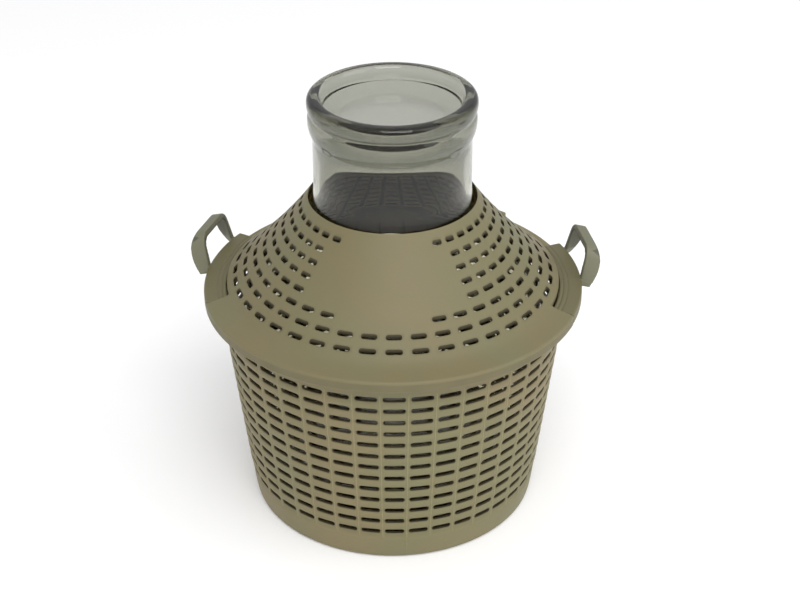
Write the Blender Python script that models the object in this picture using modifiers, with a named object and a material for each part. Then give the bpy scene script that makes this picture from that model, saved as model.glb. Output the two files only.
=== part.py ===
"""Wide-mouthed demijohn: a glass flask in a slotted plastic basket with a slotted cover and two handles.

The flask stands on the floor of the basket. The bell-shaped cover drops over the neck and rests on the
basket's rim. Each handle is clipped over the rim and stands in a notch of the cover's brim.
The origin is on the ground under the middle of the basket, +Z up, with the plain label panel at -Y.
"""
import math

import bmesh
import bpy
from mathutils import Matrix, Vector

MM = 0.001

# Clearances
FACE_GAP = 0.3 * MM
LIFT_GAP = 0.6 * MM

# Turned walls, with one column of slots in each flat
COLUMNS = 40
PITCH_ANGLE = 2.0 * math.pi / COLUMNS
SLOT_ROW_PITCH = 9.15 * MM
SLOT_HEIGHT = 3.3 * MM
CUT_DEPTH = 12.0 * MM
CUTTER_REACH = 48.0 * MM
SHARP_ANGLE = math.radians(30.0)
QUARTER_BULGE = 1.0 - math.cos(math.pi / 4.0)
MERGE_DISTANCE = 0.02 * MM

# Counts of straight runs in the curved profiles
EDGE_STEPS = 2
ROUNDING_STEPS = 3
CORNER_STEPS = 4
HEEL_STEPS = 5
SHOULDER_STEPS = 6

# Colours of the plastics and of the glass
BASKET_TAN = (0.170, 0.148, 0.080)
COVER_TAN = (0.174, 0.151, 0.082)
HANDLE_GREEN = (0.165, 0.165, 0.110)
GLASS_GREY = (0.62, 0.64, 0.56)
GLASS_ALPHA = 0.35
PLASTIC_ROUGHNESS = 0.5
GLASS_ROUGHNESS = 0.05

# Basket
BASKET_FLARE = 20.0 * MM
FOOT_CORNER = 2.4 * MM
FOOT_CORNER_BULGE = 0.6 * MM
BASKET_WALL = 2.0 * MM
BASKET_FLOOR = 3.0 * MM
RIM_HEIGHT = 150.4 * MM
RIM_THICKNESS = 1.6 * MM
RIM_WIDTH = 10.0 * MM
RIM_OVERHANG = 5.0 * MM
RIM_CLEARANCE = 2.9 * MM
BASKET_FIRST_ROW = 22.7 * MM
BASKET_TOP_BAND = 12.0 * MM
BASKET_SLOT_SHARE = 0.76

# Cover
BRIM_RADIUS = 122.0 * MM
BRIM_WIDTH = 15.0 * MM
SKIRT_HEIGHT = 5.2 * MM
BRIM_EDGE = 1.7 * MM
BRIM_EDGE_BULGE = 0.35 * MM
BRIM_DISH = 0.6 * MM
COVER_WALL = 2.1 * MM
CONE_FOOT_RISE = 10.6 * MM
CONE_RISE = 58.5 * MM
CONE_HOLLOW = 2.45 * MM
CONE_WALL_DROP = 2.8 * MM
COVER_FIRST_ROW = 7.2 * MM
COVER_TOP_BAND = 6.0 * MM
COVER_SLOT_SHARE = 0.64
PANEL_COLUMNS = {3: 4, 4: 8, 5: 8, 6: 8, 7: 8, 8: 6}

# Flask, with heights above its own foot
FLASK_HEIGHT = 279.7 * MM
GLASS_WALL = 3.0 * MM
GLASS_FLOOR = 4.0 * MM
PUNT_HEIGHT = 5.0 * MM
PUNT_EDGE_RISE = 0.5 * MM
HEEL_WIDTH = 12.0 * MM
HEEL_INSET = 22.0 * MM
BELLY_CLEARANCE = 7.0 * MM
BELLY_DROP = 32.1 * MM
NECK_RADIUS = 49.7 * MM
NECK_WALL = 4.2 * MM
NECK_FOOT_RISE = 7.3 * MM
NECK_TOP_HEIGHT = 253.2 * MM
BEAD_PROUD = 2.6 * MM
BEAD_HEIGHT = 13.6 * MM
GROOVE_DEPTH = 0.9 * MM
LIP_PROUD = 3.1 * MM
LIP_WIDTH = 10.0 * MM
LIP_ROUNDING = 3.2 * MM
LIP_HEIGHT = 9.4 * MM
MOUTH_STEP = 14.0 * MM

# Controls of the flask's two side curves, as shares of the neck's radius and of the heights that they join
SHOULDER_FLARE_SHARE = 1.046
SHOULDER_HIGH_SHARE = 0.6926
SHOULDER_LOW_SHARE = 0.5452
HEEL_HIGH_SHARE = 0.06
BELLY_LOW_SHARE = 0.5

# Handles and their notches in the brim, by columns of slots in front of each side's middle and behind it
HANDLE_ANGLE = 1.5 * PITCH_ANGLE
NOTCH_FRONT_COLUMNS = 2
NOTCH_BACK_COLUMNS = 6
CLIP_BACK_COLUMNS = 3
CLIP_PLATE = 2.6 * MM
CLIP_LIP = 2.4 * MM

# Loop of a handle, a leaning arch whose opening flares outwards
LOOP_HALF_WIDTH = 22.5 * MM
LOOP_TAPER = 4.0 * MM
LOOP_RISE = 24.1 * MM
LOOP_FOOT_DROP = 1.7 * MM
LOOP_CORNER = 8.0 * MM
LOOP_LEG = 4.5 * MM
LOOP_BAR = 4.2 * MM
LOOP_FLARE = 3.5 * MM
LOOP_EDGE_LEG = 3.5 * MM
LOOP_EDGE_BAR = 2.0 * MM
LOOP_EDGE_DROP = 1.8 * MM
LOOP_LEAN = math.radians(12.0)
LOOP_FOOT_OVERHANG = 7.0 * MM
LOOP_TOP_OVERHANG = 8.5 * MM
LOOP_BULGE = 2.4 * MM
LOOP_INSET = 3.2 * MM

# Places that follow from the sizes above
SEAT_HEIGHT = RIM_HEIGHT + FACE_GAP
BRIM_TOP = SEAT_HEIGHT + COVER_WALL
SKIRT_TOP = BRIM_TOP - BRIM_EDGE
SKIRT_FOOT = SKIRT_TOP - SKIRT_HEIGHT
CONE_FOOT_RADIUS = BRIM_RADIUS - BRIM_WIDTH
CONE_FOOT_HEIGHT = SKIRT_FOOT + CONE_FOOT_RISE
OPENING_HEIGHT = CONE_FOOT_HEIGHT + CONE_RISE
RIM_RADIUS = BRIM_RADIUS - COVER_WALL - RIM_CLEARANCE
RIM_INSIDE_RADIUS = RIM_RADIUS - RIM_WIDTH
WALL_TOP_RADIUS = RIM_RADIUS - RIM_OVERHANG
FOOT_RADIUS = WALL_TOP_RADIUS - BASKET_FLARE
FLASK_FOOT = BASKET_FLOOR + FACE_GAP
HEEL_RADIUS = FOOT_RADIUS - HEEL_INSET
PUNT_RADIUS = HEEL_RADIUS - HEEL_WIDTH
BELLY_RADIUS = RIM_INSIDE_RADIUS - BELLY_CLEARANCE
BELLY_HEIGHT = RIM_HEIGHT - BELLY_DROP - FLASK_FOOT
NECK_FOOT_HEIGHT = OPENING_HEIGHT + NECK_FOOT_RISE - FLASK_FOOT
BEAD_RADIUS = NECK_RADIUS + BEAD_PROUD
LIP_RADIUS = NECK_RADIUS + LIP_PROUD
MOUTH_RADIUS = LIP_RADIUS - LIP_WIDTH
OPENING_RADIUS = LIP_RADIUS + LIFT_GAP
LOOP_FOOT_HEIGHT = SEAT_HEIGHT - LOOP_FOOT_DROP
LOOP_INSIDE = BRIM_RADIUS - LOOP_INSET


def start_scene():
    for old in list(bpy.data.objects):
        bpy.data.objects.remove(old, do_unlink=True)
    collections = []
    for name in ("demijohn", "cutters"):
        collection = bpy.data.collections.new(name)
        bpy.context.scene.collection.children.link(collection)
        collections.append(collection)
    return collections


def make_material(name, colour, roughness, alpha=1.0):
    material = bpy.data.materials.new(name)
    material.use_nodes = True
    shader = material.node_tree.nodes["Principled BSDF"]
    shader.inputs["Base Color"].default_value = (*colour, 1.0)
    shader.inputs["Roughness"].default_value = roughness
    shader.inputs["Metallic"].default_value = 0.0
    shader.inputs["Alpha"].default_value = alpha
    return material


def polar(radius, angle):
    return (radius * math.cos(angle), radius * math.sin(angle))


def add_object(name, mesh, collection, material=None):
    made = bpy.data.objects.new(name, mesh)
    collection.objects.link(made)
    if material:
        mesh.materials.append(material)
    return made


def as_cutter(cutter):
    cutter.hide_render = True
    cutter.display_type = "WIRE"
    return cutter


def add_boolean(target, other, operation):
    modifier = target.modifiers.new(operation.title(), "BOOLEAN")
    modifier.operation = operation
    modifier.solver = "EXACT"
    modifier.object = other


def evaluated_mesh(made):
    """The mesh that an object's modifiers give."""
    graph = bpy.context.evaluated_depsgraph_get()
    return bpy.data.meshes.new_from_object(made.evaluated_get(graph))


def finish(made):
    """Keep the mesh that the modifiers give and shade its round faces smooth."""
    made.data = evaluated_mesh(made)
    made.modifiers.clear()
    made.data.shade_smooth()
    made.data.set_sharp_from_angle(angle=SHARP_ANGLE)


def turned(name, profile, collection, material=None, closed=True, start=0.0):
    """Turn a profile of (radius, height) points about Z from a start angle; it runs down the outer side."""
    count = len(profile)
    edges = [(i, i + 1) for i in range(count - 1)]
    if closed:
        edges.append((count - 1, 0))
    mesh = bpy.data.meshes.new(name)
    mesh.from_pydata([(*polar(radius, start), height) for radius, height in profile], edges, [])
    made = add_object(name, mesh, collection, material)
    screw = made.modifiers.new("Turn", "SCREW")
    screw.axis = "Z"
    screw.angle = 2.0 * math.pi
    screw.steps = COLUMNS
    screw.render_steps = COLUMNS
    screw.use_merge_vertices = True
    screw.merge_threshold = MERGE_DISTANCE
    return made


def prism(name, outline, low, high, collection):
    """Extrude a flat outline, given anticlockwise in X and Y, from one height to another."""
    mesh = bpy.data.meshes.new(name)
    build = bmesh.new()
    corners = [build.verts.new((x, y, low)) for x, y in outline]
    face = build.faces.new(corners)
    grown = bmesh.ops.extrude_face_region(build, geom=[face])
    raised = [item for item in grown["geom"] if isinstance(item, bmesh.types.BMVert)]
    bmesh.ops.translate(build, vec=(0.0, 0.0, high - low), verts=raised)
    bmesh.ops.recalc_face_normals(build, faces=build.faces)
    build.to_mesh(mesh)
    build.free()
    return add_object(name, mesh, collection)


def arc_between(start, end, bulge, steps):
    """Points along the arc from start to end that bulges to the right of its way, without the start."""
    start = Vector(start)
    end = Vector(end)
    along = end - start
    length = along.length
    along.normalize()
    right = Vector((along.y, -along.x))
    radius = length * length / (8.0 * bulge) + bulge / 2.0
    centre = (start + end) / 2.0 + right * (bulge - radius)
    half = math.asin(length / (2.0 * radius))
    points = []
    for step in range(1, steps + 1):
        angle = half * (2.0 * step / steps - 1.0)
        points.append(tuple(centre + right * radius * math.cos(angle) + along * radius * math.sin(angle)))
    return points


def bezier(start, start_control, end_control, end, steps):
    """Points along a cubic curve, without its start."""
    points = []
    for step in range(1, steps + 1):
        t = step / steps
        weights = ((1 - t) ** 3, 3 * t * (1 - t) ** 2, 3 * t * t * (1 - t), t ** 3)
        curve = zip(weights, (start, start_control, end_control, end))
        sums = [0.0, 0.0]
        for weight, point in curve:
            sums[0] += weight * point[0]
            sums[1] += weight * point[1]
        points.append(tuple(sums))
    return points


class BellCurve:
    """The hollow arc of the cover's outside, measured by the distance up the slope from its foot."""

    def __init__(self):
        foot = Vector((CONE_FOOT_RADIUS, CONE_FOOT_HEIGHT))
        top = Vector((OPENING_RADIUS, OPENING_HEIGHT))
        chord = (top - foot).length
        self.up = (top - foot).normalized()
        self.out = Vector((self.up.y, -self.up.x))
        self.radius = chord * chord / (8.0 * CONE_HOLLOW) + CONE_HOLLOW / 2.0
        self.half = math.asin(chord / (2.0 * self.radius))
        self.centre = (foot + top) / 2.0 + self.out * (self.radius - CONE_HOLLOW)
        self.length = 2.0 * self.half * self.radius

    def angle(self, distance):
        return distance / self.radius - self.half

    def point(self, distance):
        angle = self.angle(distance)
        spoke = self.up * math.sin(angle) - self.out * math.cos(angle)
        return self.centre + spoke * self.radius

    def tilt(self, distance):
        """Angle of the surface's outward normal above the horizontal."""
        angle = self.angle(distance)
        normal = self.out * math.cos(angle) - self.up * math.sin(angle)
        return math.atan2(normal.y, normal.x)


def slot_rows(first, last):
    """Places of the rows of slots from the first to the last that a wall has room for."""
    count = 1 + math.floor((last - first) / SLOT_ROW_PITCH)
    return [first + row * SLOT_ROW_PITCH for row in range(count)]


def slot_box(build, column, radius, height, tilt, share):
    """Add one slot's box to a cutter, square to the wall in the middle of a flat."""
    azimuth = (column + 0.5) * PITCH_ANGLE
    flat_radius = radius * math.cos(PITCH_ANGLE / 2.0)
    length = 2.0 * radius * math.sin(PITCH_ANGLE / 2.0) * share
    place = Matrix.Rotation(azimuth, 4, "Z") @ Matrix.Translation((flat_radius, 0.0, height))
    place = place @ Matrix.Rotation(-tilt, 4, "Y")
    size = Matrix.Diagonal((CUT_DEPTH, length, SLOT_HEIGHT, 1.0))
    bmesh.ops.create_cube(build, size=1.0, matrix=place @ size)


def slot_cutter(name, slots, collection):
    """Join the boxes of all the slots, each given by column, radius, height, tilt and share of the pitch."""
    mesh = bpy.data.meshes.new(name)
    build = bmesh.new()
    for slot in slots:
        slot_box(build, *slot)
    build.to_mesh(mesh)
    build.free()
    return as_cutter(add_object(name, mesh, collection))


def basket_wall_radius(height):
    share = (height - FOOT_CORNER) / (RIM_HEIGHT - FOOT_CORNER)
    foot = FOOT_RADIUS + FOOT_CORNER
    return foot + (WALL_TOP_RADIUS - foot) * share


def make_basket(parts, cutters, plastic):
    under_rim = RIM_HEIGHT - RIM_THICKNESS
    inside_foot = basket_wall_radius(BASKET_FLOOR) - BASKET_WALL
    profile = [(0.0, BASKET_FLOOR), (inside_foot - FOOT_CORNER, BASKET_FLOOR)]
    profile += [(inside_foot, BASKET_FLOOR + FOOT_CORNER)]
    profile += [(basket_wall_radius(under_rim - BASKET_WALL) - BASKET_WALL, under_rim - BASKET_WALL)]
    profile += [(RIM_INSIDE_RADIUS, under_rim), (RIM_INSIDE_RADIUS, RIM_HEIGHT)]
    profile += [(RIM_RADIUS, RIM_HEIGHT), (RIM_RADIUS, under_rim)]
    profile += [(basket_wall_radius(under_rim), under_rim), (basket_wall_radius(FOOT_CORNER), FOOT_CORNER)]
    profile += arc_between(profile[-1], (FOOT_RADIUS, 0.0), FOOT_CORNER_BULGE, EDGE_STEPS)
    profile += [(0.0, 0.0)]
    basket = turned("basket", profile, parts, plastic, closed=False)
    slots = []
    tilt = -math.atan2(WALL_TOP_RADIUS - FOOT_RADIUS - FOOT_CORNER, RIM_HEIGHT - FOOT_CORNER)
    for height in slot_rows(BASKET_FIRST_ROW, under_rim - BASKET_TOP_BAND):
        radius = basket_wall_radius(height) - BASKET_WALL / 2.0
        for column in range(COLUMNS):
            slots.append((column, radius, height, tilt, BASKET_SLOT_SHARE))
    add_boolean(basket, slot_cutter("basket_slots", slots, cutters), "DIFFERENCE")
    finish(basket)


def in_panel(row, column):
    """True for the columns that the plain panel at -Y takes out of a row of the cover."""
    from_front = abs(column + 0.5 - 0.75 * COLUMNS)
    return from_front < PANEL_COLUMNS.get(row, 0) / 2.0


def make_cover(parts, cutters, plastic):
    bell = BellCurve()
    rows = slot_rows(COVER_FIRST_ROW, bell.length - COVER_TOP_BAND)
    stops = [0.0, rows[0] - SLOT_ROW_PITCH / 2.0]
    stops += [row + SLOT_ROW_PITCH / 2.0 for row in rows]
    stops += [bell.length]
    slope = [tuple(bell.point(stop)) for stop in stops]
    brim_top = (BRIM_RADIUS - BRIM_EDGE, BRIM_TOP)
    skirt_top = (BRIM_RADIUS, SKIRT_TOP)
    outside = list(reversed(slope))
    outside += arc_between(slope[0], brim_top, BRIM_DISH, ROUNDING_STEPS)
    outside += arc_between(brim_top, skirt_top, BRIM_EDGE_BULGE, EDGE_STEPS)
    outside += [(BRIM_RADIUS, SKIRT_FOOT)]
    inside = [(BRIM_RADIUS - COVER_WALL, SKIRT_FOOT), (BRIM_RADIUS - COVER_WALL, SEAT_HEIGHT)]
    inside += [(radius, height - CONE_WALL_DROP) for radius, height in slope]
    cover = turned("cover", outside + inside, parts, plastic)
    slots = []
    for number, distance in enumerate(rows, 1):
        radius, height = bell.point(distance)
        for column in range(COLUMNS):
            if not in_panel(number, column):
                slots.append((column, radius, height, bell.tilt(distance), COVER_SLOT_SHARE))
    add_boolean(cover, slot_cutter("cover_slots", slots, cutters), "DIFFERENCE")
    for side, middle, backward in sides():
        add_boolean(cover, make_notch("notch_" + side, middle, backward, cutters), "DIFFERENCE")
    finish(cover)


def sides():
    """Name of each side, the angle of its middle and the way round from there to the back."""
    return (("right", 0.0, 1.0), ("left", math.pi, -1.0))


def make_notch(name, middle, backward, cutters):
    """The part of the brim that is open for one handle, down to the skirt's foot."""
    front = middle - backward * NOTCH_FRONT_COLUMNS * PITCH_ANGLE
    back = middle + backward * NOTCH_BACK_COLUMNS * PITCH_ANGLE
    low, high = sorted((front, back))
    outer = BRIM_RADIUS + CUTTER_REACH
    outline = [polar(outer, low), polar(outer, high)]
    for step in range(NOTCH_FRONT_COLUMNS + NOTCH_BACK_COLUMNS + 1):
        outline.append(polar(RIM_INSIDE_RADIUS, high - step * PITCH_ANGLE))
    notch = prism(name, outline, SKIRT_FOOT - BRIM_EDGE, CONE_FOOT_HEIGHT + CONE_WALL_DROP, cutters)
    return as_cutter(notch)


def rounded_corner(before, corner, after, radius):
    """Points of the arc that rounds one corner of an outline."""
    corner = Vector(corner)
    back = (Vector(before) - corner).normalized()
    on = (Vector(after) - corner).normalized()
    half = back.angle(on) / 2.0
    centre = corner + (back + on).normalized() * radius / math.sin(half)
    start = corner + back * radius / math.tan(half) - centre
    end = corner + on * radius / math.tan(half) - centre
    sweep = start.angle_signed(end)
    points = []
    for step in range(CORNER_STEPS + 1):
        turn = Matrix.Rotation(-sweep * step / CORNER_STEPS, 2)
        points.append(tuple(centre + turn @ start))
    return points


def loop_rail(foot_half_width, top_half_width, rise, corner):
    """One edge of the loop as (across, up) points, over the arch from its right foot to its left."""
    top = SEAT_HEIGHT + rise
    feet = ((foot_half_width, LOOP_FOOT_HEIGHT), (-foot_half_width, LOOP_FOOT_HEIGHT))
    tops = ((top_half_width, top), (-top_half_width, top))
    rail = [feet[0]]
    rail += rounded_corner(feet[0], tops[0], tops[1], corner)
    rail += rounded_corner(tops[0], tops[1], feet[1], corner)
    rail += [feet[1]]
    return rail


def loop_inside(height):
    return LOOP_INSIDE + (height - LOOP_FOOT_HEIGHT) * math.tan(LOOP_LEAN)


def loop_outside(height):
    share = (height - LOOP_FOOT_HEIGHT) / (LOOP_RISE + LOOP_FOOT_DROP)
    overhang = LOOP_FOOT_OVERHANG + (LOOP_TOP_OVERHANG - LOOP_FOOT_OVERHANG) * share
    return BRIM_RADIUS + overhang + 4.0 * LOOP_BULGE * share * (1.0 - share)


def make_loop(cutters):
    """The loop of one handle at +X, a tube with four edges that leans outwards and flares."""
    top = LOOP_HALF_WIDTH - LOOP_TAPER
    edge_rise = LOOP_RISE - LOOP_EDGE_DROP
    edge_foot = LOOP_HALF_WIDTH + LOOP_FLARE
    inner_corner = LOOP_CORNER - LOOP_LEG / 2.0
    outer_corner = LOOP_CORNER + LOOP_FLARE
    rails = [(loop_inside, loop_rail(LOOP_HALF_WIDTH, top, LOOP_RISE, LOOP_CORNER))]
    rails += [(loop_inside, loop_rail(LOOP_HALF_WIDTH - LOOP_LEG, top - LOOP_LEG / 2.0,
                                      LOOP_RISE - LOOP_BAR, inner_corner))]
    rails += [(loop_outside, loop_rail(edge_foot - LOOP_EDGE_LEG, top,
                                       edge_rise - LOOP_EDGE_BAR, LOOP_CORNER))]
    rails += [(loop_outside, loop_rail(edge_foot, top, edge_rise, outer_corner))]
    build = bmesh.new()
    lines = []
    for surface, rail in rails:
        lines.append([build.verts.new((surface(up), across, up)) for across, up in rail])
    for line, following in zip(lines, lines[1:] + lines[:1]):
        for i in range(len(line) - 1):
            build.faces.new((line[i], line[i + 1], following[i + 1], following[i]))
    build.faces.new([line[0] for line in lines])
    build.faces.new([line[-1] for line in reversed(lines)])
    bmesh.ops.recalc_face_normals(build, faces=build.faces)
    mesh = bpy.data.meshes.new("loop")
    build.to_mesh(mesh)
    build.free()
    return as_cutter(add_object("loop", mesh, cutters))


def clip_section():
    """Outline of the clip in radius and height: a plate on the rim, an apron round it and a lip under it."""
    plate_top = SEAT_HEIGHT + CLIP_PLATE
    lip_top = RIM_HEIGHT - RIM_THICKNESS - FACE_GAP
    lip_foot = lip_top - CLIP_LIP
    apron_inside = RIM_RADIUS + FACE_GAP
    lip_inside = basket_wall_radius(lip_top) + LIFT_GAP
    plate_inside = RIM_INSIDE_RADIUS + LIFT_GAP
    section = [(plate_inside, plate_top), (BRIM_RADIUS, plate_top), (BRIM_RADIUS, lip_foot)]
    section += [(lip_inside, lip_foot), (lip_inside, lip_top), (apron_inside, lip_top)]
    section += [(apron_inside, SEAT_HEIGHT), (plate_inside, SEAT_HEIGHT)]
    return section


def make_handle(side, middle, backward, parts, cutters, plastic):
    """A handle, made at +X and turned to its angle; its clip reaches from the notch's front past the loop."""
    front_gap = FACE_GAP / RIM_INSIDE_RADIUS
    front = backward * (front_gap - NOTCH_FRONT_COLUMNS * PITCH_ANGLE - HANDLE_ANGLE)
    back = backward * (CLIP_BACK_COLUMNS * PITCH_ANGLE - HANDLE_ANGLE)
    low, high = sorted((front, back))
    wedge_inner = RIM_INSIDE_RADIUS - CUT_DEPTH
    wedge_outer = BRIM_RADIUS + CUTTER_REACH
    outline = [polar(wedge_inner, low), polar(wedge_outer, low)]
    outline += [polar(wedge_outer, high), polar(wedge_inner, high)]
    wedge_foot = SKIRT_FOOT - CLIP_LIP
    wedge_top = SEAT_HEIGHT + CLIP_PLATE + CLIP_LIP
    wedge = as_cutter(prism("clip_wedge_" + side, outline, wedge_foot, wedge_top, cutters))
    pattern = turned("pattern_" + side, clip_section(), cutters, plastic, start=HANDLE_ANGLE)
    add_boolean(pattern, wedge, "INTERSECT")
    add_boolean(pattern, make_loop(cutters), "UNION")
    finish(as_cutter(pattern))
    handle = add_object("handle_" + side, pattern.data, parts)
    handle.rotation_euler.z = middle + backward * HANDLE_ANGLE


def make_flask(parts, glass):
    foot = FLASK_FOOT
    rim = foot + FLASK_HEIGHT
    belly = (BELLY_RADIUS, foot + BELLY_HEIGHT)
    heel = (HEEL_RADIUS, foot)
    neck_foot = (NECK_RADIUS, foot + NECK_FOOT_HEIGHT)
    neck_top = (NECK_RADIUS, foot + NECK_TOP_HEIGHT)
    bead_foot = (BEAD_RADIUS, neck_top[1] + NECK_WALL)
    bead_top = (BEAD_RADIUS, neck_top[1] + BEAD_HEIGHT)
    groove = (BEAD_RADIUS - GROOVE_DEPTH, rim - LIP_HEIGHT - GROOVE_DEPTH)
    lip_foot = (LIP_RADIUS, rim - LIP_HEIGHT + GROOVE_DEPTH)
    lip_side = (LIP_RADIUS, rim - LIP_ROUNDING)
    lip_top = (LIP_RADIUS - LIP_ROUNDING, rim)
    mouth_top = (MOUTH_RADIUS + LIP_ROUNDING, rim)
    mouth_side = (MOUTH_RADIUS, rim - LIP_ROUNDING)
    throat = (MOUTH_RADIUS, rim - MOUTH_STEP)
    inner_neck_top = (NECK_RADIUS - NECK_WALL, neck_top[1] - NECK_WALL)
    inner_neck_foot = (NECK_RADIUS - NECK_WALL, neck_foot[1])
    inner_belly = (BELLY_RADIUS - GLASS_WALL, belly[1])
    inner_heel = (HEEL_RADIUS, foot + GLASS_FLOOR)

    def shoulder(inset):
        rise = neck_foot[1] - belly[1]
        high = (SHOULDER_FLARE_SHARE * NECK_RADIUS - inset, belly[1] + SHOULDER_HIGH_SHARE * rise)
        low = (BELLY_RADIUS - inset, belly[1] + SHOULDER_LOW_SHARE * rise - inset)
        return high, low

    def lower_body(inset):
        low = (FOOT_RADIUS - inset, foot + HEEL_HIGH_SHARE * BELLY_HEIGHT + inset)
        high = (BELLY_RADIUS - inset, foot + BELLY_LOW_SHARE * BELLY_HEIGHT)
        return low, high

    profile = [(0.0, foot + PUNT_HEIGHT + GLASS_FLOOR), (PUNT_RADIUS, foot + GLASS_FLOOR + PUNT_EDGE_RISE)]
    profile += [inner_heel]
    profile += bezier(inner_heel, *lower_body(GLASS_WALL), inner_belly, HEEL_STEPS)
    high, low = shoulder(GLASS_WALL)
    profile += bezier(inner_belly, low, high, inner_neck_foot, SHOULDER_STEPS)
    profile += [inner_neck_top, throat, mouth_side]
    profile += arc_between(mouth_side, mouth_top, -LIP_ROUNDING * QUARTER_BULGE, ROUNDING_STEPS)
    profile += [lip_top]
    profile += arc_between(lip_top, lip_side, -LIP_ROUNDING * QUARTER_BULGE, ROUNDING_STEPS)
    profile += [lip_foot, groove]
    profile += [bead_top, bead_foot, neck_top, neck_foot]
    high, low = shoulder(0.0)
    profile += bezier(neck_foot, high, low, belly, SHOULDER_STEPS)
    low, high = lower_body(0.0)
    profile += bezier(belly, high, low, heel, HEEL_STEPS)
    profile += [(PUNT_RADIUS, foot + PUNT_EDGE_RISE), (0.0, foot + PUNT_HEIGHT)]
    finish(turned("flask", profile, parts, glass, closed=False))


def main():
    parts, cutters = start_scene()
    basket_plastic = make_material("basket_plastic", BASKET_TAN, PLASTIC_ROUGHNESS)
    cover_plastic = make_material("cover_plastic", COVER_TAN, PLASTIC_ROUGHNESS)
    handle_plastic = make_material("handle_plastic", HANDLE_GREEN, PLASTIC_ROUGHNESS)
    glass = make_material("glass", GLASS_GREY, GLASS_ROUGHNESS, GLASS_ALPHA)
    make_basket(parts, cutters, basket_plastic)
    make_cover(parts, cutters, cover_plastic)
    for side, middle, backward in sides():
        make_handle(side, middle, backward, parts, cutters, handle_plastic)
    make_flask(parts, glass)


main()
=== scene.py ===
"""Looks of the wide-mouthed demijohn: smoky glass flask, slotted basket and cover, clip-on handles."""
import math

import bmesh
import bpy
from mathutils import Matrix, Vector


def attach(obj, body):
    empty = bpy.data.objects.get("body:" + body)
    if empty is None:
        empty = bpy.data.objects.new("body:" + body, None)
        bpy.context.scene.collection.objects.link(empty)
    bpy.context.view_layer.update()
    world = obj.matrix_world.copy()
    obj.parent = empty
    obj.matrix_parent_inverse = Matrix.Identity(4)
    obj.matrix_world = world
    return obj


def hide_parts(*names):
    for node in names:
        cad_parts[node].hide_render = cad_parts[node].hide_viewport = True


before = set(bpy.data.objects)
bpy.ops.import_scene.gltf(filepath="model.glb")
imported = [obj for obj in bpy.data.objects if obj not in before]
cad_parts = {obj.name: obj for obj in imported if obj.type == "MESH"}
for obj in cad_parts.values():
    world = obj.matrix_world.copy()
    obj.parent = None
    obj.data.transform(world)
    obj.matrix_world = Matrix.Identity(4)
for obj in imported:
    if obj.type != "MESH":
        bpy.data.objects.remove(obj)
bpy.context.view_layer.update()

MM = 0.001

# Columns and rows of slots, with lengths in millimetres here and below
COLUMNS = 40
PITCH = 2.0 * math.pi / COLUMNS
ROW_PITCH = 9.15
SLOT_HEIGHT = 3.3
SLOT_END_SHIFTS = (1.05, 0.38)

# Basket
FOOT_RADIUS = 92.0
FOOT_CORNER = 2.4
WALL_TOP_RADIUS = 112.0
RIM_HEIGHT = 150.4
RIM_UNDER = 148.8
RIM_RADIUS = 117.0
RIM_INSIDE_RADIUS = 107.0
BASKET_WALL = 2.0
BASKET_FLOOR = 3.0
BASKET_ROWS = 13
BASKET_FIRST_ROW = 22.7
BASE_BAND_TOP = 15.5
BASKET_ENDS = (0.10, 0.125, 0.175)
BASKET_FLANK = 0.03

# Cover
BRIM_RADIUS = 122.0
BRIM_TOP = 152.8
SKIRT_TOP = 151.1
SKIRT_FOOT = 145.9
SEAT_HEIGHT = 150.7
COVER_WALL = 2.1
CONE_FOOT_RADIUS = 107.0
CONE_FOOT_HEIGHT = 156.5
CONE_RISE = 58.5
CONE_HOLLOW = 2.45
CONE_WALL_DROP = 2.8
OPENING_RADIUS = 53.4
COVER_ROWS = 8
COVER_FIRST_ROW = 7.2
COVER_ENDS = (0.175, 0.205, 0.275)
COVER_FLANK = 0.05
PANEL_COLUMNS = {3: 4, 4: 8, 5: 8, 6: 8, 7: 8, 8: 6}

# Handles
HANDLE_ANGLE = 1.5 * PITCH
NOTCH_FRONT = 2.0 * PITCH
NOTCH_BACK = 6.0 * PITCH
CLIP_BACK = 3.0 * PITCH
CLIP_GAP = 0.3
PLATE_TOP = 153.3
LIP_FOOT = 146.1
LOOP_FOOT = 149.0
LOOP_TOP = 174.8
LOOP_INSIDE = 118.8
LOOP_LEAN = math.radians(12.0)
LOOP_CORNER = 8.0
LOOP_TOP_HALF = 18.5
LOOP_FOOT_HALF = 22.5
OPENING_FOOT_HALF = 18.0
OPENING_TOP_HALF = 16.25
OPENING_TOP = 170.6
OPENING_CORNER = 5.75
CLIP_PLATE_INSIDE = 107.6
CLIP_GROOVES = (109.9, 112.9)
CLIP_LIP_INSIDE = 113.5

# Flask, whose heights are above its foot
FLASK_FOOT = 3.3
FLASK_HEIGHT = 279.7
NECK_FOOT_HEIGHT = 219.0
NECK_TOP_HEIGHT = 253.2
BELLY_HEIGHT = 115.0
BELLY_RADIUS = 100.0
BELLY_INSIDE = 97.0
BASE_RADIUS = 70.0
NECK_RADIUS = 49.7
NECK_INSIDE = 45.5
MOUTH_RADIUS = 42.8
LIP_RADIUS = 52.8
BEAD_RADIUS = 52.6
FLASK_STEPS = 144

# Surface detail, in features per metre and metres
SPECKLE_SCALE = 620.0
GRAIN_SCALE = 1900.0
MOULD_RELIEF = 0.00012
SOFT_EDGE = 0.3

# The column of the basket's mould line, and how near two shares of a column count as the same
MOULD_LINE_COLUMN = 31
NEAR = 0.001


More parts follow.
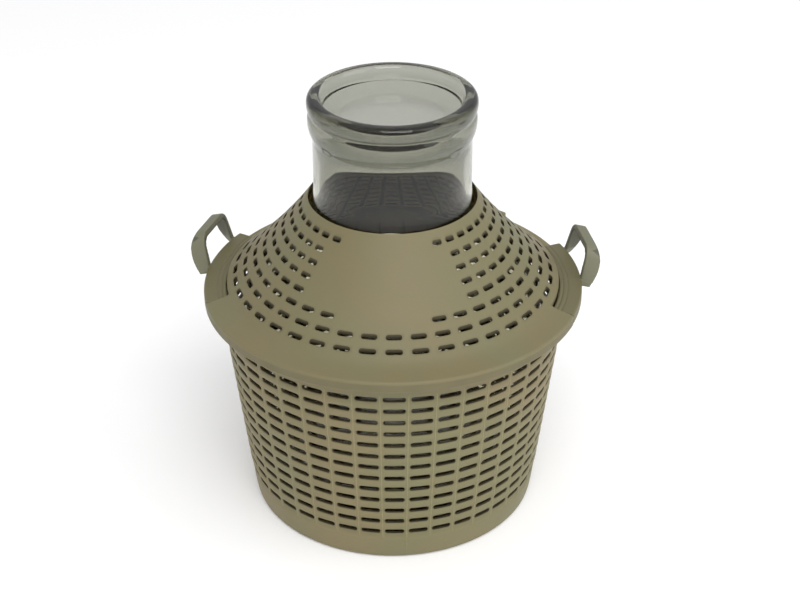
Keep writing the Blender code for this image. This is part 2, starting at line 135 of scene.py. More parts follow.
class Wire:
    """A shader socket that Python's arithmetic works on."""

    def __init__(self, paint, socket):
        self.paint = paint
        self.socket = socket

    def maths(self, operation, first, second):
        return self.paint.node("ShaderNodeMath", {"operation": operation}, {0: first, 1: second})

    def __add__(self, other):
        return self.maths("ADD", self, other)

    __radd__ = __add__

    def __sub__(self, other):
        return self.maths("SUBTRACT", self, other)

    def __rsub__(self, other):
        return self.maths("SUBTRACT", other, self)

    def __mul__(self, other):
        return self.maths("MULTIPLY", self, other)

    __rmul__ = __mul__


class Paint:
    """One material and its node tree."""

    def __init__(self, name):
        self.material = bpy.data.materials.new(name)
        self.material.use_nodes = True
        self.tree = self.material.node_tree
        self.shader = self.tree.nodes["Principled BSDF"]

    def feed(self, socket, value):
        if isinstance(value, Wire):
            self.tree.links.new(value.socket, socket)
        else:
            socket.default_value = value

    def node(self, kind, settings=None, sockets=None, output=None):
        """Add a node, set it up, feed its sockets and return one of its outputs."""
        made = self.tree.nodes.new(kind)
        for name, value in (settings or {}).items():
            setattr(made, name, value)
        for key, value in (sockets or {}).items():
            self.feed(made.inputs[key], value)
        if output is not None:
            return Wire(self, made.outputs[output])
        return Wire(self, [socket for socket in made.outputs if socket.enabled][0])

    def coordinate(self, axis):
        """The object's own X, Y or Z, in metres."""
        place = self.node("ShaderNodeTexCoord", output="Object")
        return self.node("ShaderNodeSeparateXYZ", None, {"Vector": place}, output=axis)

    def noise(self, scale, detail=2.0, roughness=0.5, stretch=(1.0, 1.0, 1.0)):
        """Noise on the object's own coordinates, in features per metre."""
        place = self.node("ShaderNodeTexCoord", output="Object")
        place = self.node("ShaderNodeMapping", None, {"Vector": place, "Scale": stretch})
        sockets = {"Vector": place, "Scale": scale, "Detail": detail, "Roughness": roughness}
        return self.node("ShaderNodeTexNoise", None, sockets)

    def band(self, factor, low, high):
        """0 below low and 1 above high."""
        sockets = {"Value": factor, "From Min": low, "From Max": high}
        return self.node("ShaderNodeMapRange", {"interpolation_type": "SMOOTHSTEP"}, sockets)

    def mix(self, factor, first, second):
        return self.node("ShaderNodeMix", {"data_type": "RGBA"}, {0: factor, 6: first, 7: second}, output=2)

    def absolute(self, value):
        return self.node("ShaderNodeMath", {"operation": "ABSOLUTE"}, {0: value})

    def attribute(self, name):
        return self.node("ShaderNodeAttribute", {"attribute_name": name}, output="Fac")

    def bump(self, height, distance, strength=1.0):
        sockets = {"Height": height, "Distance": distance, "Strength": strength}
        return self.node("ShaderNodeBump", None, sockets)

    def surface(self, colour, roughness, normal):
        self.feed(self.shader.inputs["Base Color"], colour)
        self.feed(self.shader.inputs["Roughness"], roughness)
        self.feed(self.shader.inputs["Normal"], normal)


def rgb(red, green, blue, share=1.0):
    return (red * share, green * share, blue * share, 1.0)


def moulded_plastic(name, base, warm, green, inner, shift):
    """Satin moulded plastic: mottled, darker round the slots, with painted shade on the skirt and rubbed wear
    and a painted highlight on the ribs.

    The inside takes a colour of its own, which stands in for daylight that comes through a thin wall. The
    sides of the slots and the inner ribs are painted darker, in place of deep shade.
    """
    paint = Paint(name)
    broad = paint.noise(11.0 + shift, 2.0)
    patchy = paint.noise(55.0 + shift, 3.0)
    speckle = paint.noise(SPECKLE_SCALE, 2.0)
    grain = paint.noise(GRAIN_SCALE, 1.0)
    edge = paint.attribute("slot_edge_and_skirt_shade")
    rib = paint.attribute("rib")
    inside = paint.attribute("inside") * (1.0 - paint.attribute("cut_side"))
    inner_rib = paint.attribute("inner_rib")
    slot_side = paint.attribute("slot_side")
    colour = paint.mix(paint.band(broad, 0.36, 0.66), rgb(*warm), rgb(*green))
    colour = paint.mix(paint.band(patchy, 0.3, 0.75) * 0.5, colour, rgb(*base))
    # Darker round the slots, and painted shade on the skirt's face.
    colour = paint.mix(edge * (0.2 + patchy * 0.4), colour, rgb(*base, 0.62))
    # Lighter on the ribs and the mould line: rubbed wear and a painted highlight.
    colour = paint.mix(rib * (0.35 + speckle * 0.5), colour, rgb(*base, 1.5))
    colour = paint.mix(paint.band(speckle, 0.62, 0.8) * 0.18, colour, rgb(*base, 1.22))
    colour = paint.mix(slot_side * 0.9, colour, rgb(*warm, 0.3))
    colour = paint.mix(inside * (1.0 - slot_side) * 0.95, colour, rgb(*inner))
    colour = paint.mix(inner_rib * 0.95, colour, rgb(*base, 0.12))
    roughness = 0.44 + patchy * 0.16 + speckle * 0.06
    height = grain * 0.35 + speckle * 0.65
    paint.surface(colour, roughness, paint.bump(height, MOULD_RELIEF, 0.55))
    paint.shader.inputs["Specular IOR Level"].default_value = 0.4
    paint.shader.inputs["Subsurface Weight"].default_value = 0.2
    paint.shader.inputs["Subsurface Radius"].default_value = (1.0, 0.9, 0.6)
    paint.shader.inputs["Subsurface Scale"].default_value = 0.003
    return paint.material


def handle_plastic():
    """Grey-green loop and olive-tan clip in one moulding, with painted shade on the faces towards the loop's
    opening.
    """
    paint = Paint("handle_moulding")
    sideways = paint.absolute(paint.coordinate("X"))
    backward = paint.coordinate("Y")
    out = sideways * math.cos(HANDLE_ANGLE) + backward * math.sin(HANDLE_ANGLE)
    across = paint.absolute(backward * math.cos(HANDLE_ANGLE) - sideways * math.sin(HANDLE_ANGLE))
    height = paint.coordinate("Z")
    above = paint.band(height, (PLATE_TOP + 0.1) * MM, (PLATE_TOP + 0.8) * MM)
    reach = out * out + across * across
    beyond = paint.band(reach, ((BRIM_RADIUS + 0.3) * MM) ** 2, ((BRIM_RADIUS + 0.9) * MM) ** 2)
    loop = paint.node("ShaderNodeMath", {"operation": "MAXIMUM"}, {0: above, 1: beyond})
    rise = height - LOOP_FOOT * MM
    depth = out - LOOP_INSIDE * MM - rise * math.tan(LOOP_LEAN)
    depth = paint.band(depth, 0.0, 10.0 * MM)
    half_width = OPENING_FOOT_HALF * MM - rise * 0.081 + depth * (4.5 * MM - rise * 0.1)
    within = 1.0 - paint.band(across - half_width, 0.2 * MM, 0.8 * MM)
    under = 1.0 - paint.band(height, (OPENING_TOP + 0.5) * MM, (OPENING_TOP + 1.3) * MM)
    opening = above * within * under
    patchy = paint.noise(60.0, 3.0)
    speckle = paint.noise(SPECKLE_SCALE, 2.0)
    grain = paint.noise(GRAIN_SCALE, 1.0)
    pad = paint.mix(patchy, rgb(0.122, 0.109, 0.051), rgb(0.138, 0.125, 0.061))
    grey = paint.mix(patchy, rgb(0.142, 0.140, 0.088), rgb(0.162, 0.160, 0.108))
    colour = paint.mix(loop, pad, grey)
    # Painted shade on the faces towards the loop's opening.
    colour = paint.mix(opening * 0.7, colour, rgb(0.050, 0.050, 0.032))
    colour = paint.mix(paint.band(speckle, 0.62, 0.8) * 0.2, colour, rgb(0.230, 0.230, 0.180))
    roughness = 0.42 + patchy * 0.15 + speckle * 0.06
    paint.surface(colour, roughness, paint.bump(grain * 0.35 + speckle * 0.65, MOULD_RELIEF, 0.5))
    paint.shader.inputs["Specular IOR Level"].default_value = 0.4
    return paint.material


def smoky_glass():
    """Grey-green blown glass with faint waves, clearer below the neck by a given amount."""
    paint = Paint("smoky_glass")
    waves = paint.noise(38.0, 2.0, 0.45, (1.0, 1.0, 0.4))
    streaks = paint.noise(150.0, 1.0, 0.4, (1.0, 1.0, 0.25))
    roughness = 0.02 + paint.noise(25.0) * 0.02
    shader = paint.shader
    shader.inputs["IOR"].default_value = 1.42
    shader.inputs["Transmission Weight"].default_value = 1.0
    clear = rgb(0.79, 0.775, 0.675)
    smoky = rgb(0.49, 0.495, 0.45)
    tint = paint.mix(paint.band(paint.coordinate("Z"), 0.205, 0.245), clear, smoky)
    paint.surface(tint, roughness, paint.bump(waves * 0.8 + streaks * 0.2, 0.0006, 0.5))
    sockets = {"Color": rgb(0.50, 0.50, 0.40), "Density": 45.0}
    absorb = paint.node("ShaderNodeVolumeAbsorption", None, sockets)
    paint.feed(paint.tree.nodes["Material Output"].inputs["Volume"], absorb)
    return paint.material


def polar(radius, angle):
    return (radius * math.cos(angle), radius * math.sin(angle))


def new_piece(name, build, material, body, node):
    """Make one visible piece from a bmesh in metres, ride it on its body and replace its CAD node."""
    bmesh.ops.remove_doubles(build, verts=build.verts, dist=0.00001)
    bmesh.ops.recalc_face_normals(build, faces=build.faces)
    mesh = bpy.data.meshes.new(name)
    build.to_mesh(mesh)
    build.free()
    mesh.materials.append(material)
    mesh.shade_smooth()
    piece = bpy.data.objects.new(name, mesh)
    bpy.context.scene.collection.objects.link(piece)
    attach(piece, body)
    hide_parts(node)
    return piece


class Station:
    """One level of a turned wall.

    place gives (outer radius, outer height, inner radius, inner height) for a distance along the wall,
    band names the stretch up to the next station, and side is 1 at the foot of a row of slots and -1 at
    its head.
    """

    def __init__(self, place, band, at=0.0, row=0, side=0):
        self.place = place
        self.band = band
        self.at = at
        self.row = row
        self.side = side


class Swell:
    """What happens at one point of the grid: how far it stands out and in, and what its surface is."""

    def __init__(self, out=0.0, inward=0.0, edge=0.0, rib=0.0, inner_rib=0.0, shift=0.0):
        self.out = out
        self.inward = inward
        self.edge = edge
        self.rib = rib
        self.inner_rib = inner_rib
        self.shift = shift


def fixed(*corners):
    return lambda distance: corners


def mirrored(shares):
    """The shares of the first half of a column, and their mirror images."""
    return sorted(set(shares) | {round(1.0 - share, 6) for share in shares if share > 0.0})


class Lattice:
    """A turned wall made as a grid of angles by stations, open where its cells are left out."""

    def __init__(self, stations, shares, swell, is_open):
        self.stations = stations
        self.spots = [(column, share) for column in range(COLUMNS) for share in shares]
        self.swell = swell
        self.is_open = is_open

    def rings(self, build):
        """The rings of outer and inner points of each station."""
        names = ("slot_edge_and_skirt_shade", "rib", "inside", "inner_rib")
        layers = {name: build.verts.layers.float.new(name) for name in names}
        outer, inner = [], []
        for station in self.stations:
            outer_ring, inner_ring = [], []
            for column, share in self.spots:
                angle = (column + share) * PITCH
                swell = self.swell(station, column, share)
                radius, height, inner_radius, inner_height = station.place(station.at + swell.shift)
                place = Vector((*polar(radius + swell.out, angle), height)) * MM
                vert = build.verts.new(place)
                vert[layers["slot_edge_and_skirt_shade"]] = swell.edge
                vert[layers["rib"]] = swell.rib
                outer_ring.append(vert)
                place = Vector((*polar(inner_radius - swell.inward, angle), inner_height)) * MM
                vert = build.verts.new(place)
                vert[layers["inside"]] = 1.0
                vert[layers["inner_rib"]] = swell.inner_rib
                inner_ring.append(vert)
            outer.append(outer_ring)
            inner.append(inner_ring)
        return outer, inner

    def grown(self):
        build = bmesh.new()
        outer, inner = self.rings(build)
        slot_side = build.faces.layers.float.new("slot_side")
        cut_side = build.faces.layers.float.new("cut_side")
        count = len(self.spots)
        rows = len(self.stations) - 1
        solid = []
        for station in self.stations[:rows]:
            solid.append([not self.is_open(station, *spot) for spot in self.spots])
        for row in range(rows):
            for i in range(count):
                if not solid[row][i]:
                    continue
                after = (i + 1) % count
                corners = [(row, i), (row, after), (row + 1, after), (row + 1, i)]
                build.faces.new([outer[a][b] for a, b in corners])
                build.faces.new([inner[a][b] for a, b in reversed(corners)])
                sides = (
                    (row == 0 or not solid[row - 1][i], row - 1, corners[0], corners[1]),
                    (not solid[row][after], row, corners[1], corners[2]),
                    (row == rows - 1 or not solid[row + 1][i], row + 1, corners[2], corners[3]),
                    (not solid[row][i - 1], row, corners[3], corners[0]),
                )
                for bare, beside, (a, b), (c, d) in sides:
                    if bare:
                        loop = [outer[a][b], inner[a][b], inner[c][d], outer[c][d]]
                        if len({tuple(vert.co) for vert in loop}) > 2:
                            face = build.faces.new(loop)
                            face[slot_side] = float(self.stations[beside].band == "slot")
                            face[cut_side] = 1.0 - face[slot_side]
        return build


def end_shift(station, share, ends):
    """How far a slot's corner moves towards the middle of the slot, which rounds its ends."""
    for end, shift in zip(ends, SLOT_END_SHIFTS):
        if abs(min(share, 1.0 - share) - end) < NEAR:
            return station.side * shift
    return 0.0


def soften(piece, width):
    """Round the sharp edges and keep the flat faces flat."""
    bevel = piece.modifiers.new("Soft edges", "BEVEL")
    bevel.width = width * MM
    bevel.segments = 2
    bevel.limit_method = "ANGLE"
    bevel.angle_limit = math.radians(38.0)


def wall_radius(height):
    share = (height - FOOT_CORNER) / (RIM_HEIGHT - FOOT_CORNER)
    foot = FOOT_RADIUS + FOOT_CORNER
    return foot + (WALL_TOP_RADIUS - foot) * share


def wall_place(height):
    radius = wall_radius(height)
    return radius, height, radius - BASKET_WALL, max(height, 2.0 * BASKET_FLOOR)


def basket_stations():
    """The basket's levels from the middle of its floor, round its foot and up to its rim."""
    stations = [Station(fixed(0.0, 0.0, 0.0, BASKET_FLOOR), "floor")]
    stations += [Station(fixed(60.0, 0.0, 60.0, BASKET_FLOOR), "floor")]
    stations += [Station(fixed(FOOT_RADIUS - 2.0, 0.0, 87.0, BASKET_FLOOR), "floor")]
    stations += [Station(fixed(FOOT_RADIUS, 0.0, 90.0, BASKET_FLOOR), "foot")]
    for turn in (30.0, 60.0, 90.0):
        angle = math.radians(turn)
        radius = FOOT_RADIUS + FOOT_CORNER * math.sin(angle)
        height = FOOT_CORNER * (1.0 - math.cos(angle))
        inner = FOOT_CORNER * turn / 90.0
        stations.append(Station(fixed(radius, height, 90.0 + inner, BASKET_FLOOR + inner), "foot"))
    for height in (8.0, BASE_BAND_TOP - 0.5, BASE_BAND_TOP):
        stations.append(Station(wall_place, "base_band", height))
    stations.append(Station(wall_place, "plain", BASE_BAND_TOP + 0.6))
    half = SLOT_HEIGHT / 2.0
    slat = ROW_PITCH - SLOT_HEIGHT
    for row in range(1, BASKET_ROWS + 1):
        middle = BASKET_FIRST_ROW + (row - 1) * ROW_PITCH
        top = middle + half
        stations.append(Station(wall_place, "slot", middle - half, row, 1))
        stations.append(Station(wall_place, "slat_foot", top, row, -1))
        if row < BASKET_ROWS:
            stations.append(Station(wall_place, "slat", top + slat * 0.16))
            stations.append(Station(wall_place, "slat_crown", top + slat * 0.5))
            stations.append(Station(wall_place, "slat", top + slat * 0.84))
    stations.append(Station(wall_place, "plain", top + 2.0))
    stations.append(Station(wall_place, "plain", RIM_UNDER - 4.0))
    outside = wall_radius(RIM_UNDER)
    stations.append(Station(fixed(outside, RIM_UNDER, RIM_INSIDE_RADIUS, RIM_UNDER), "rim"))
    stations.append(Station(fixed(RIM_RADIUS, RIM_UNDER, RIM_INSIDE_RADIUS, RIM_UNDER + 0.4), "rim"))
    stations.append(Station(fixed(RIM_RADIUS, RIM_HEIGHT, RIM_INSIDE_RADIUS, RIM_HEIGHT), "rim"))
    return stations


def basket_swell(station, column, share):
    """Crowned slats, a fine rib up the middle of each gap, a rib inside and a mould line on the band."""
    on_rib = share == 0.0
    on_flank = abs(min(share, 1.0 - share) - BASKET_FLANK) < NEAR
    if station.band in ("floor", "foot", "rim"):
        return Swell()
    if station.band == "base_band":
        seam = on_rib and column == MOULD_LINE_COLUMN
        return Swell(out=0.47 if seam else 0.25, rib=0.4 if seam else 0.0)
    inner_rib = 1.0 if on_rib or on_flank else 0.0
    if station.band == "plain":
        return Swell(inner_rib=inner_rib * 0.5)
    crown = {"slat": 0.45, "slat_crown": 0.75}.get(station.band, 0.0)
    if on_rib:
        return Swell(out=crown * 0.4 + 0.5, inward=1.1, rib=1.0, inner_rib=inner_rib)
    if on_flank:
        return Swell(out=crown * 0.7, inward=0.8, inner_rib=inner_rib)
    return Swell(out=crown, edge=abs(station.side), shift=end_shift(station, share, BASKET_ENDS))


def make_basket(material):
    start = BASKET_ENDS[0]

    def is_open(station, column, share):
        return station.band == "slot" and start - NEAR < share < 1.0 - start - NEAR

    shares = mirrored((0.0, BASKET_FLANK, *BASKET_ENDS, 0.5))
    lattice = Lattice(basket_stations(), shares, basket_swell, is_open)
    basket = new_piece("basket_shell", lattice.grown(), material, "base", "basket")
    soften(basket, SOFT_EDGE)


class BellCurve:
    """The hollow arc of the cover's outside, by the distance up the slope from its foot."""

    def __init__(self):
        foot = Vector((CONE_FOOT_RADIUS, CONE_FOOT_HEIGHT))
        top = Vector((OPENING_RADIUS, CONE_FOOT_HEIGHT + CONE_RISE))
        chord = (top - foot).length
        self.up = (top - foot).normalized()
        self.out = Vector((self.up.y, -self.up.x))
        self.radius = chord * chord / (8.0 * CONE_HOLLOW) + CONE_HOLLOW / 2.0
        self.half = math.asin(chord / (2.0 * self.radius))
        self.centre = (foot + top) / 2.0 + self.out * (self.radius - CONE_HOLLOW)
        self.length = 2.0 * self.half * self.radius

    def point(self, distance):
        angle = distance / self.radius - self.half
        spoke = self.up * math.sin(angle) - self.out * math.cos(angle)
        return self.centre + spoke * self.radius

    def place(self, distance):
        radius, height = self.point(distance)
        return radius, height, radius, height - CONE_WALL_DROP


def in_panel(row, column):
    """True for the columns that the plain panel takes out of a row of the cover."""
    from_front = abs(column + 0.5 - 0.75 * COLUMNS)
    return from_front < PANEL_COLUMNS.get(row, 0) / 2.0


def in_notch(angle):
    """True where the brim is open for a handle, by the angle behind the middle of either side."""
    behind = (angle + math.pi / 2.0) % (2.0 * math.pi) - math.pi / 2.0
    if behind > math.pi / 2.0:
        behind = math.pi - behind
    return -NOTCH_FRONT < behind < NOTCH_BACK


def cover_stations(bell):
    """The cover's levels from the skirt's foot, over the brim and up the bell to the opening."""
    under = BRIM_RADIUS - COVER_WALL
    edge = BRIM_TOP - SKIRT_TOP
    stations = [Station(fixed(BRIM_RADIUS, SKIRT_FOOT, under, SKIRT_FOOT), "brim")]
    stations += [Station(fixed(BRIM_RADIUS, SKIRT_FOOT + 0.9, under, SKIRT_FOOT + 0.9), "skirt")]
    stations += [Station(fixed(BRIM_RADIUS, SKIRT_TOP - 0.6, under, SEAT_HEIGHT - 1.5), "skirt")]
    for turn in (0.0, 22.5, 45.0, 67.5, 90.0):
        angle = math.radians(turn)
        radius = BRIM_RADIUS - edge + edge * math.cos(angle)
        height = SKIRT_TOP + edge * math.sin(angle)
        stations.append(Station(fixed(radius, height, under, SEAT_HEIGHT), "brim"))
    rise_start = 4.0
    start = Vector((BRIM_RADIUS - edge, BRIM_TOP))
    end = bell.point(rise_start)
    slope = (bell.point(rise_start) - bell.point(rise_start - 0.5)).normalized()
    first = start + Vector((-8.0, 1.7))
    second = end - slope * 6.0
    for step in range(1, 9):
        t = step / 9.0
        point = start * (1 - t) ** 3 + first * 3 * t * (1 - t) ** 2
        radius, height = point + second * 3 * t * t * (1 - t) + end * t ** 3
        drop = COVER_WALL + (CONE_WALL_DROP - COVER_WALL) * t
        if radius > CONE_FOOT_RADIUS:
            stations.append(Station(fixed(radius, height, radius, max(SEAT_HEIGHT, height - drop)), "brim"))
        else:
            stations.append(Station(fixed(radius, height, radius, height - drop), "plain"))
    stations.append(Station(bell.place, "plain", rise_start))
    half = SLOT_HEIGHT / 2.0
    slat = ROW_PITCH - SLOT_HEIGHT
    for row in range(1, COVER_ROWS + 1):
        middle = COVER_FIRST_ROW + (row - 1) * ROW_PITCH
        top = middle + half
        stations.append(Station(bell.place, "slot", middle - half, row, 1))
        stations.append(Station(bell.place, "slat", top, row, -1))
        if row < COVER_ROWS:
            for share in (0.2, 0.5, 0.8):
                stations.append(Station(bell.place, "slat", top + slat * share))
    stations.append(Station(bell.place, "plain", top + 2.0))
    stations.append(Station(bell.place, "plain", bell.length - 1.2))
    stations.append(Station(bell.place, "plain", bell.length))
    return stations


def cover_swell(station, column, share):
    """Darker slot edges with rounded ends, painted shade on the skirt, and a low rib inside each gap between
    the columns.
    """
    if station.band == "skirt":
        # Painted shade on the skirt's face.
        return Swell(edge=1.2)
    if station.band not in ("slot", "slat") or in_panel(station.row, column):
        return Swell()
    if share == 0.0:
        return Swell(inward=0.9, inner_rib=1.0)
    if abs(min(share, 1.0 - share) - COVER_FLANK) < NEAR:
        return Swell(inward=0.8, inner_rib=1.0)
    return Swell(edge=abs(station.side), shift=end_shift(station, share, COVER_ENDS))


def make_cover(material):
    start = COVER_ENDS[0]

    def is_open(station, column, share):
        if station.band in ("brim", "skirt"):
            return in_notch((column + share + NEAR) * PITCH)
        if station.band == "slot" and not in_panel(station.row, column):
            return start - NEAR < share < 1.0 - start - NEAR
        return False

    shares = mirrored((0.0, COVER_FLANK, *COVER_ENDS, 0.5))
    lattice = Lattice(cover_stations(BellCurve()), shares, cover_swell, is_open)
    cover = new_piece("cover_shell", lattice.grown(), material, "cover", "cover")
    soften(cover, SOFT_EDGE)


def turned_mesh(profile, steps):
    """Turn a profile of (radius, height) in millimetres about Z; both of its ends lie on the axis."""
    build = bmesh.new()
    rings = []
    for radius, height in profile:
        if radius < 0.001:
            rings.append([build.verts.new((0.0, 0.0, height * MM))] * steps)
        else:
            angles = [2.0 * math.pi * i / steps for i in range(steps)]
            places = [Vector((*polar(radius, angle), height)) * MM for angle in angles]
            rings.append([build.verts.new(place) for place in places])
    for lower, upper in zip(rings, rings[1:]):
        for i in range(steps):
            after = (i + 1) % steps
            corners = []
            for vert in (lower[i], lower[after], upper[after], upper[i]):
                if vert not in corners:
                    corners.append(vert)
            if len(corners) > 2:
                build.faces.new(corners)
    return build


def add_curve(profile, start_control, end_control, end, steps):
    """Carry a profile on from its last point along one smooth curve."""
    knots = (profile[-1], start_control, end_control, end)
    for step in range(1, steps + 1):
        t = step / steps
        weights = ((1 - t) ** 3, 3 * t * (1 - t) ** 2, 3 * t * t * (1 - t), t ** 3)
        place = [sum(weight * knot[axis] for weight, knot in zip(weights, knots)) for axis in (0, 1)]
        profile.append(tuple(place))


def make_flask(material):
    """The inside from the middle of the bottom up to the rim, then the outside back down."""
    foot = FLASK_FOOT
    rim = foot + FLASK_HEIGHT
    neck_foot = foot + NECK_FOOT_HEIGHT
    neck_top = foot + NECK_TOP_HEIGHT
    belly = foot + BELLY_HEIGHT
    profile = [(0.0, foot + 9.0), (20.0, foot + 8.8), (40.0, foot + 7.2), (58.0, foot + 4.6)]
    profile.append((BASE_RADIUS, foot + 4.0))
    inside = (
        ((89.0, foot + 9.9), (BELLY_INSIDE, foot + 57.5), (BELLY_INSIDE, belly), 14),
        ((BELLY_INSIDE, foot + 168.7), (49.0, foot + 187.0), (NECK_INSIDE, neck_foot), 20),
        ((45.4, neck_foot + 12.0), (45.4, neck_top - 14.0), (45.2, neck_top - 8.0), 6),
        ((45.0, neck_top - 1.0), (MOUTH_RADIUS, neck_top + 2.0), (MOUTH_RADIUS, neck_top + 9.0), 8),
        ((MOUTH_RADIUS, rim - 8.0), (42.7, rim - 0.2), (46.2, rim), 10),
    )
    lip = (
        ((47.5, rim), (48.2, rim), (49.4, rim - 0.05), 2),
        ((51.9, rim - 0.3), (LIP_RADIUS, rim - 2.4), (LIP_RADIUS, rim - 4.4), 7),
        ((LIP_RADIUS, rim - 7.0), (52.5, rim - 9.2), (51.2, rim - 10.2), 6),
        ((51.2, rim - 11.4), (51.6, rim - 11.6), (52.2, rim - 13.0), 4),
        ((BEAD_RADIUS, rim - 15.0), (BEAD_RADIUS, rim - 19.0), (51.4, rim - 22.5), 6),
        ((50.6, rim - 25.0), (NECK_RADIUS, rim - 26.5), (NECK_RADIUS, neck_top - 2.0), 5),
    )
    outside = (
        ((NECK_RADIUS, neck_top - 10.0), (NECK_RADIUS, neck_foot + 10.0), (NECK_RADIUS, neck_foot), 4),
        ((52.0, foot + 187.0), (BELLY_RADIUS, foot + 171.7), (BELLY_RADIUS, belly), 22),
        ((BELLY_RADIUS, foot + 57.5), (92.0, foot + 6.9), (BASE_RADIUS, foot), 14),
    )
    for curve in inside + lip + outside:
        add_curve(profile, *curve)
    profile += [(58.0, foot + 0.5), (40.0, foot + 3.0), (20.0, foot + 4.6), (0.0, foot + 5.0)]
    new_piece("flask_glass", turned_mesh(profile, FLASK_STEPS), material, "flask", "flask")


def rounded_corner(before, corner, after, radius, steps):
    """Points of the arc that rounds one corner of an outline."""
    corner = Vector(corner)
    back = (Vector(before) - corner).normalized()
    on = (Vector(after) - corner).normalized()
    half = back.angle(on) / 2.0
    centre = corner + (back + on).normalized() * radius / math.sin(half)
    start = corner + back * radius / math.tan(half) - centre
    end = corner + on * radius / math.tan(half) - centre
    sweep = start.angle_signed(end)
    points = []
    for step in range(steps + 1):
        points.append(tuple(centre + Matrix.Rotation(-sweep * step / steps, 2) @ start))
    return points


def straight(start, end, steps):
    """Points along a straight run, without its end."""
    start = Vector(start)
    end = Vector(end)
    return [tuple(start.lerp(end, step / steps)) for step in range(steps)]


def loop_rail(foot_half, top_half, top, corner):
    """One edge of a handle's loop as (across, up) points, over the arch from its right foot to its left."""
    feet = ((foot_half, LOOP_FOOT), (-foot_half, LOOP_FOOT))
    tops = ((top_half, top), (-top_half, top))
    right = rounded_corner(feet[0], tops[0], tops[1], corner, 8)
    left = rounded_corner(tops[0], tops[1], feet[1], corner, 8)
    return straight(feet[0], right[0], 7) + right + left + straight(feet[1], left[-1], 7)[::-1]


def loop_inside(height):
    return LOOP_INSIDE + (height - LOOP_FOOT) * math.tan(LOOP_LEAN)


def loop_outside(height):
    share = (height - LOOP_FOOT) / (LOOP_TOP - LOOP_FOOT)
    return BRIM_RADIUS + 2.5 + 6.0 * share + 17.0 * share * (1.0 - share)


def add_loop(build):
    """The leaning arch, from its face towards the neck to its crowned outer face."""
    rails = [(loop_inside, loop_rail(LOOP_FOOT_HALF, LOOP_TOP_HALF, LOOP_TOP, LOOP_CORNER))]
    rails += [(loop_inside, loop_rail(OPENING_FOOT_HALF, OPENING_TOP_HALF, OPENING_TOP, OPENING_CORNER))]
    rails += [(loop_outside, loop_rail(LOOP_FOOT_HALF, LOOP_TOP_HALF, 171.0, LOOP_CORNER))]
    rails += [(loop_outside, loop_rail(26.0, LOOP_TOP_HALF, 173.0, 11.5))]
    lines = []
    for surface, rail in rails:
        lines.append([build.verts.new(Vector((surface(up), across, up)) * MM) for across, up in rail])
    for line, following in zip(lines, lines[1:] + lines[:1]):
        for i in range(len(line) - 1):
            build.faces.new((line[i], line[i + 1], following[i + 1], following[i]))
    build.faces.new([line[0] for line in lines])
    build.faces.new([line[-1] for line in reversed(lines)])


def add_arc(build, section, start, end, steps):
    """Sweep a closed (radius, height) section round the axis from one angle to another."""
    rings = []
    for step in range(steps + 1):
        angle = start + (end - start) * step / steps
        places = [Vector((*polar(radius, angle), height)) * MM for radius, height in section]
        rings.append([build.verts.new(place) for place in places])
    for ring, following in zip(rings, rings[1:]):
        for i in range(len(section)):
            after = (i + 1) % len(section)
            build.faces.new((ring[i], ring[after], following[after], following[i]))
    build.faces.new(rings[0])
    build.faces.new(list(reversed(rings[-1])))


def clip_section():
    """The clip's outline in radius and height: a grooved plate, an apron round the rim and a lip under it."""
    section = [(CLIP_PLATE_INSIDE, SEAT_HEIGHT), (CLIP_PLATE_INSIDE, PLATE_TOP)]
    for groove in CLIP_GROOVES:
        section += [(groove - 0.6, PLATE_TOP), (groove - 0.4, PLATE_TOP - 0.6)]
        section += [(groove + 0.4, PLATE_TOP - 0.6), (groove + 0.6, PLATE_TOP)]
    section += [(BRIM_RADIUS - 0.9, PLATE_TOP), (BRIM_RADIUS - 0.2, PLATE_TOP - 0.4)]
    section += [(BRIM_RADIUS, PLATE_TOP - 1.1), (BRIM_RADIUS, LIP_FOOT)]
    under = RIM_UNDER - CLIP_GAP
    outside = RIM_RADIUS + CLIP_GAP
    section += [(CLIP_LIP_INSIDE, LIP_FOOT), (CLIP_LIP_INSIDE, under), (outside, under)]
    section += [(outside, SEAT_HEIGHT)]
    return section


def make_handle(side, middle, backward, material):
    build = bmesh.new()
    add_loop(build)
    front = backward * (CLIP_GAP / RIM_INSIDE_RADIUS - NOTCH_FRONT - HANDLE_ANGLE)
    back = backward * (CLIP_BACK - HANDLE_ANGLE)
    add_arc(build, clip_section(), front, back, 48)
    turn = Matrix.Rotation(middle + backward * HANDLE_ANGLE, 3, "Z")
    bmesh.ops.rotate(build, verts=build.verts, cent=(0, 0, 0), matrix=turn)
    name = "handle_" + side
    piece = new_piece(name + "_moulding", build, material, "base", name)
    remesh = piece.modifiers.new("One moulding", "REMESH")
    remesh.mode = "VOXEL"
    remesh.voxel_size = 0.35 * MM
    remesh.use_smooth_shade = True
    smooth = piece.modifiers.new("Soft edges", "SMOOTH")
    smooth.factor = 0.5
    smooth.iterations = 16


def look_at(made, target):
    made.rotation_euler = (Vector(target) - made.location).to_track_quat("-Z", "Y").to_euler()


def make_stage():
    paint = Paint("pale_floor")
    paint.shader.inputs["Base Color"].default_value = rgb(0.98, 0.98, 0.98)
    paint.feed(paint.shader.inputs["Roughness"], 0.8 + paint.noise(40.0) * 0.1)
    paint.shader.inputs["Specular IOR Level"].default_value = 0.1
    mesh = bpy.data.meshes.new("floor")
    build = bmesh.new()
    bmesh.ops.create_circle(build, cap_ends=True, segments=96, radius=9.0)
    build.to_mesh(mesh)
    build.free()
    mesh.materials.append(paint.material)
    floor = bpy.data.objects.new("floor", mesh)
    floor.location.z = -0.0005
    bpy.context.scene.collection.objects.link(floor)


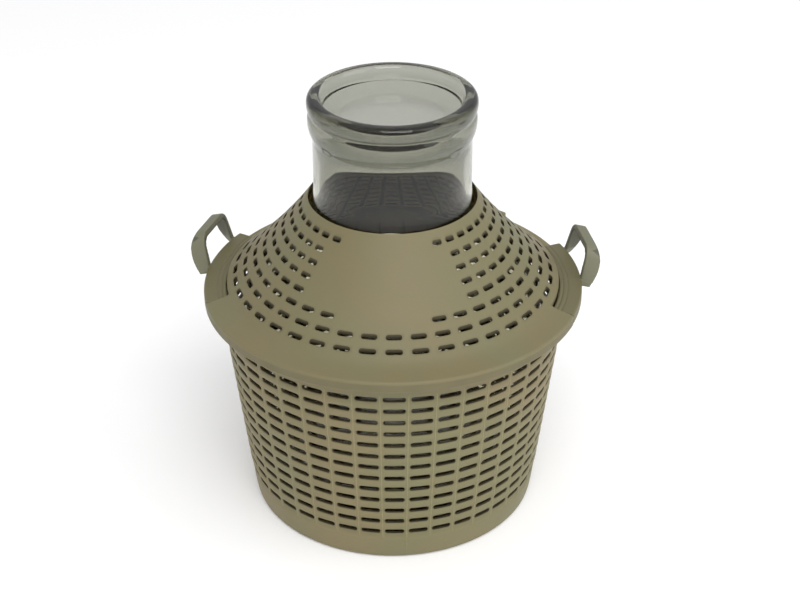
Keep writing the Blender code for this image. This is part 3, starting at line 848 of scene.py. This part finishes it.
def make_lights():
    """An even pale surround with a soft light from high in front and a weaker one from the right."""
    world = bpy.data.worlds.new("studio")
    bpy.context.scene.world = world
    world.use_nodes = True
    background = world.node_tree.nodes["Background"]
    background.inputs["Color"].default_value = rgb(0.99, 0.99, 1.0)
    background.inputs["Strength"].default_value = 0.8
    for name, place, size, power in (
        ("key", (0.3, -1.45, 1.9), 1.3, 26.0),
        ("fill", (1.5, -0.6, 1.2), 1.4, 9.0),
    ):
        light = bpy.data.lights.new(name, "AREA")
        light.energy = power
        light.size = size
        made = bpy.data.objects.new(name, light)
        made.location = place
        bpy.context.scene.collection.objects.link(made)
        look_at(made, (0.0, 0.0, 0.12))


def make_camera():
    """The photograph's view: 1.1 m away, looking down by about 31 degrees."""
    distance = 1.1
    elevation = math.radians(30.73)
    azimuth = math.radians(4.2)
    roll = math.radians(-0.2)
    focal_pixels = 1685.0
    image_width = 800.0
    shift_pixels = 7.0
    aim = Vector((0.0, 0.0, 0.137))
    data = bpy.data.cameras.new("photo_view")
    data.sensor_width = 36.0
    data.lens = focal_pixels * data.sensor_width / image_width
    data.shift_x = shift_pixels / image_width
    data.clip_end = 30.0
    camera = bpy.data.objects.new("photo_view", data)
    bpy.context.scene.collection.objects.link(camera)
    level = distance * math.cos(elevation)
    camera.location = aim + Vector((level * math.sin(azimuth), -level * math.cos(azimuth),
                                    distance * math.sin(elevation)))
    facing = (aim - camera.location).to_track_quat("-Z", "Y").to_matrix()
    camera.rotation_euler = (facing @ Matrix.Rotation(roll, 3, "Z")).to_euler()
    bpy.context.scene.camera = camera


def main():
    bpy.context.scene.view_settings.view_transform = "Standard"
    basket_tan = (0.190, 0.165, 0.082)
    basket_warm = (0.202, 0.164, 0.082)
    basket_green = (0.174, 0.165, 0.082)
    cover_tan = (0.166, 0.146, 0.073)
    cover_warm = (0.172, 0.142, 0.070)
    cover_green = (0.156, 0.148, 0.075)
    # The insides' paler colours are painted light, in place of daylight through the thin walls.
    basket_inner = (0.230, 0.198, 0.100)
    cover_inner = (0.560, 0.470, 0.250)
    make_basket(moulded_plastic("basket_moulding", basket_tan, basket_warm, basket_green, basket_inner, 0.0))
    make_cover(moulded_plastic("cover_moulding", cover_tan, cover_warm, cover_green, cover_inner, 3.0))
    make_flask(smoky_glass())
    handle_material = handle_plastic()
    make_handle("right", 0.0, 1.0, handle_material)
    make_handle("left", math.pi, -1.0, handle_material)
    make_stage()
    make_lights()
    make_camera()


main()
